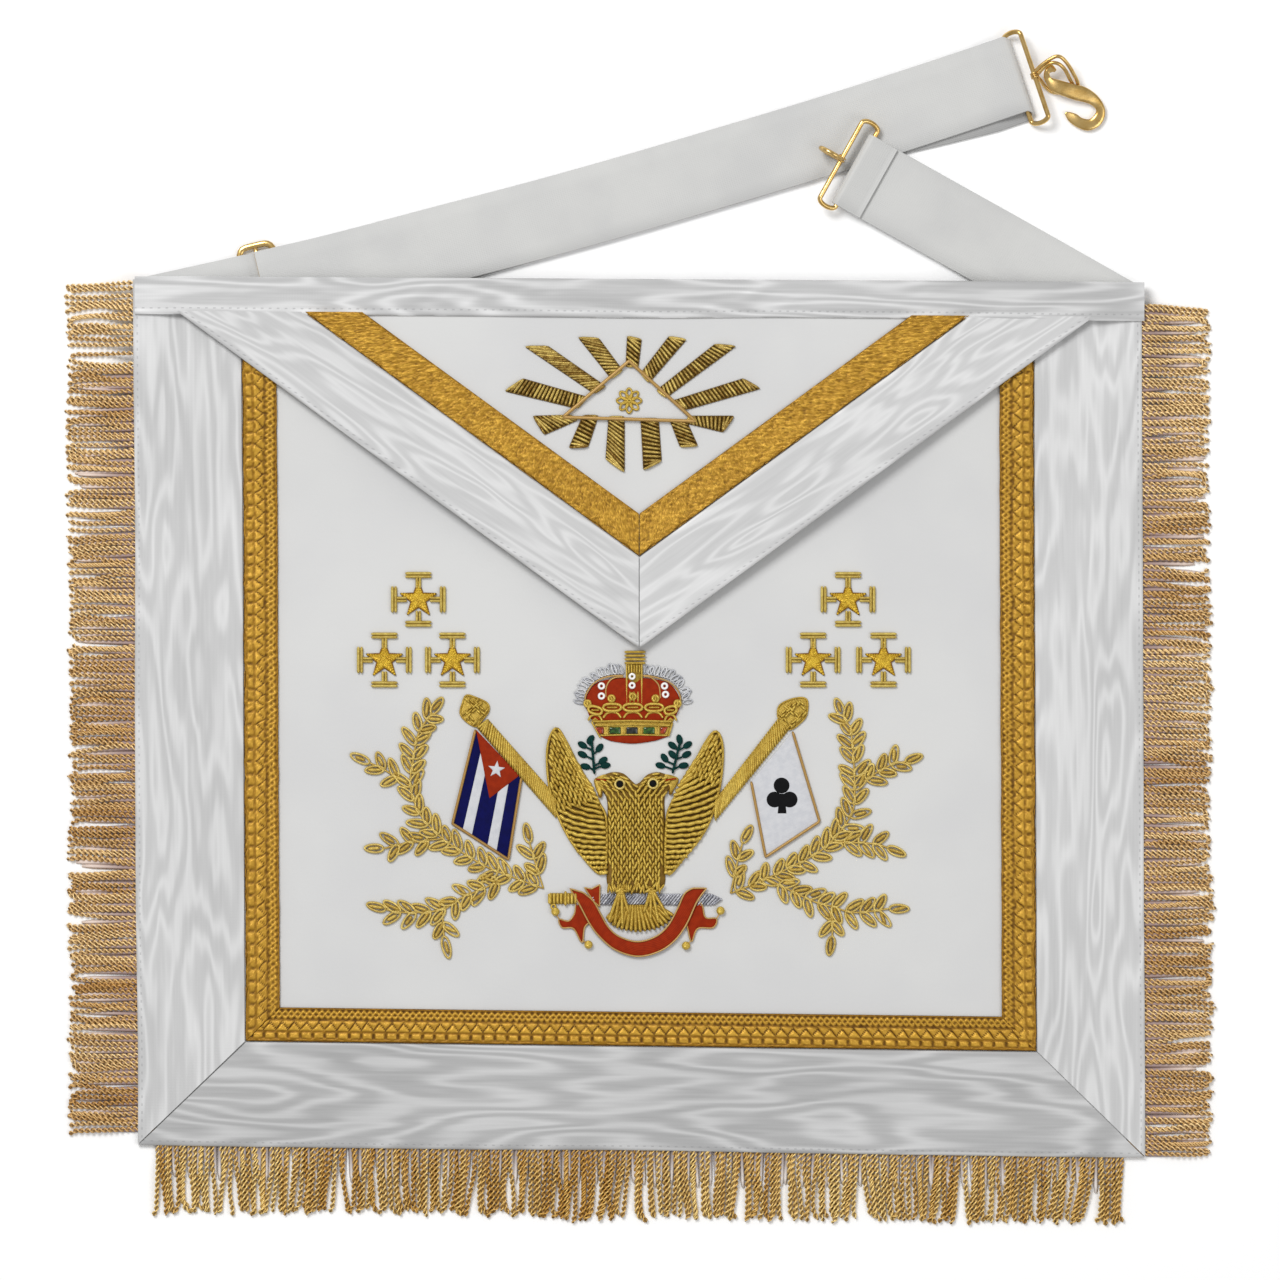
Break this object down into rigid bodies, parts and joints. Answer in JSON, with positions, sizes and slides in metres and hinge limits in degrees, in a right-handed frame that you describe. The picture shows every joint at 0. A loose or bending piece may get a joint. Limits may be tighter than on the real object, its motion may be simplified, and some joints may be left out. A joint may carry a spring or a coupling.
{
  "type": "masonic apron",
  "caption": "Fringed white leather regalia apron with ribbon borders, gold braid, embroidered emblem, triangular flap and webbing belt.",
  "frame": {"origin": "centre of the leather panel's flat back face, where the apron lies on a table", "axes": "+Z out of the apron's front, +Y up the apron towards its belt, +X to the right as the front is seen"},
  "size_m": [0.4643, 0.4846, 0.0144],
  "materials": {
    "white_leather": "smooth white leather with a fine grain",
    "moire_ribbon": "white moire ribbon with a watered pattern",
    "gold_braid": "woven metallic braid",
    "gold_fringe": "twisted metallic cord",
    "grey_webbing": "plain pale webbing",
    "polished_gold": "polished gilt wire",
    "gold_bullion": "gilt bullion thread",
    "star_gold": "bright gilt bullion",
    "red_satin": "rust red satin stitch",
    "green_silk": "dark green silk stitch",
    "blue_satin": "satin stitch in blue, white and red",
    "white_satin": "white satin stitch",
    "silver_wire": "silver bullion"
  },
  "bodies": {
    "root": {"ground_panel": "white_leather", "flap_panel": "white_leather", "border_left": "moire_ribbon", "border_right": "moire_ribbon", "border_bottom": "moire_ribbon", "waistband": "moire_ribbon", "flap_border_left": "moire_ribbon", "flap_border_right": "moire_ribbon", "braid_left": "gold_braid", "braid_right": "gold_braid", "braid_bottom": "gold_braid", "flap_braid_left": "gold_braid", "flap_braid_right": "gold_braid", "fringe_left": "gold_fringe", "fringe_right": "gold_fringe", "fringe_bottom": "gold_fringe", "belt_long": "grey_webbing", "belt_short": "grey_webbing", "belt_slide": "polished_gold", "sunburst": "gold_bullion", "triangle_rosette": "gold_bullion", "crown_post": "gold_bullion", "crown_band": "gold_bullion", "eagle_wing_left": "gold_bullion", "eagle_wing_right": "gold_bullion", "eagle_body": "gold_bullion", "eagle_tail": "gold_bullion", "sword_hilt": "gold_bullion", "staff_left": "gold_bullion", "staff_right": "gold_bullion", "laurel_left": "gold_bullion", "laurel_right": "gold_bullion", "star_cross_1": "star_gold", "star_cross_2": "star_gold", "star_cross_3": "star_gold", "star_cross_4": "star_gold", "star_cross_5": "star_gold", "star_cross_6": "star_gold", "crown_cap": "red_satin", "ribbon": "red_satin", "sprig_left": "green_silk", "sprig_right": "green_silk", "flag_left": "blue_satin", "flag_right": "white_satin", "sword_blade": "silver_wire"},
    "hook_fitting": {"hook_frame": "polished_gold", "snake_hook": "polished_gold"},
    "eye_fitting": {"eye_frame": "polished_gold"}
  },
  "joints": [
    {"name": "hook_frame_turn", "type": "hinge", "parent": "root", "child": "hook_fitting", "pos_m": [0.15159, 0.25726, 0.0024], "axis": [0.3216, -0.9469, 0], "range_deg": [0, 110]},
    {"name": "eye_frame_turn", "type": "hinge", "parent": "root", "child": "eye_fitting", "pos_m": [0.08734, 0.21982, 0.0052], "axis": [0.4879, 0.8729, 0], "range_deg": [0, 110]}
  ]
}
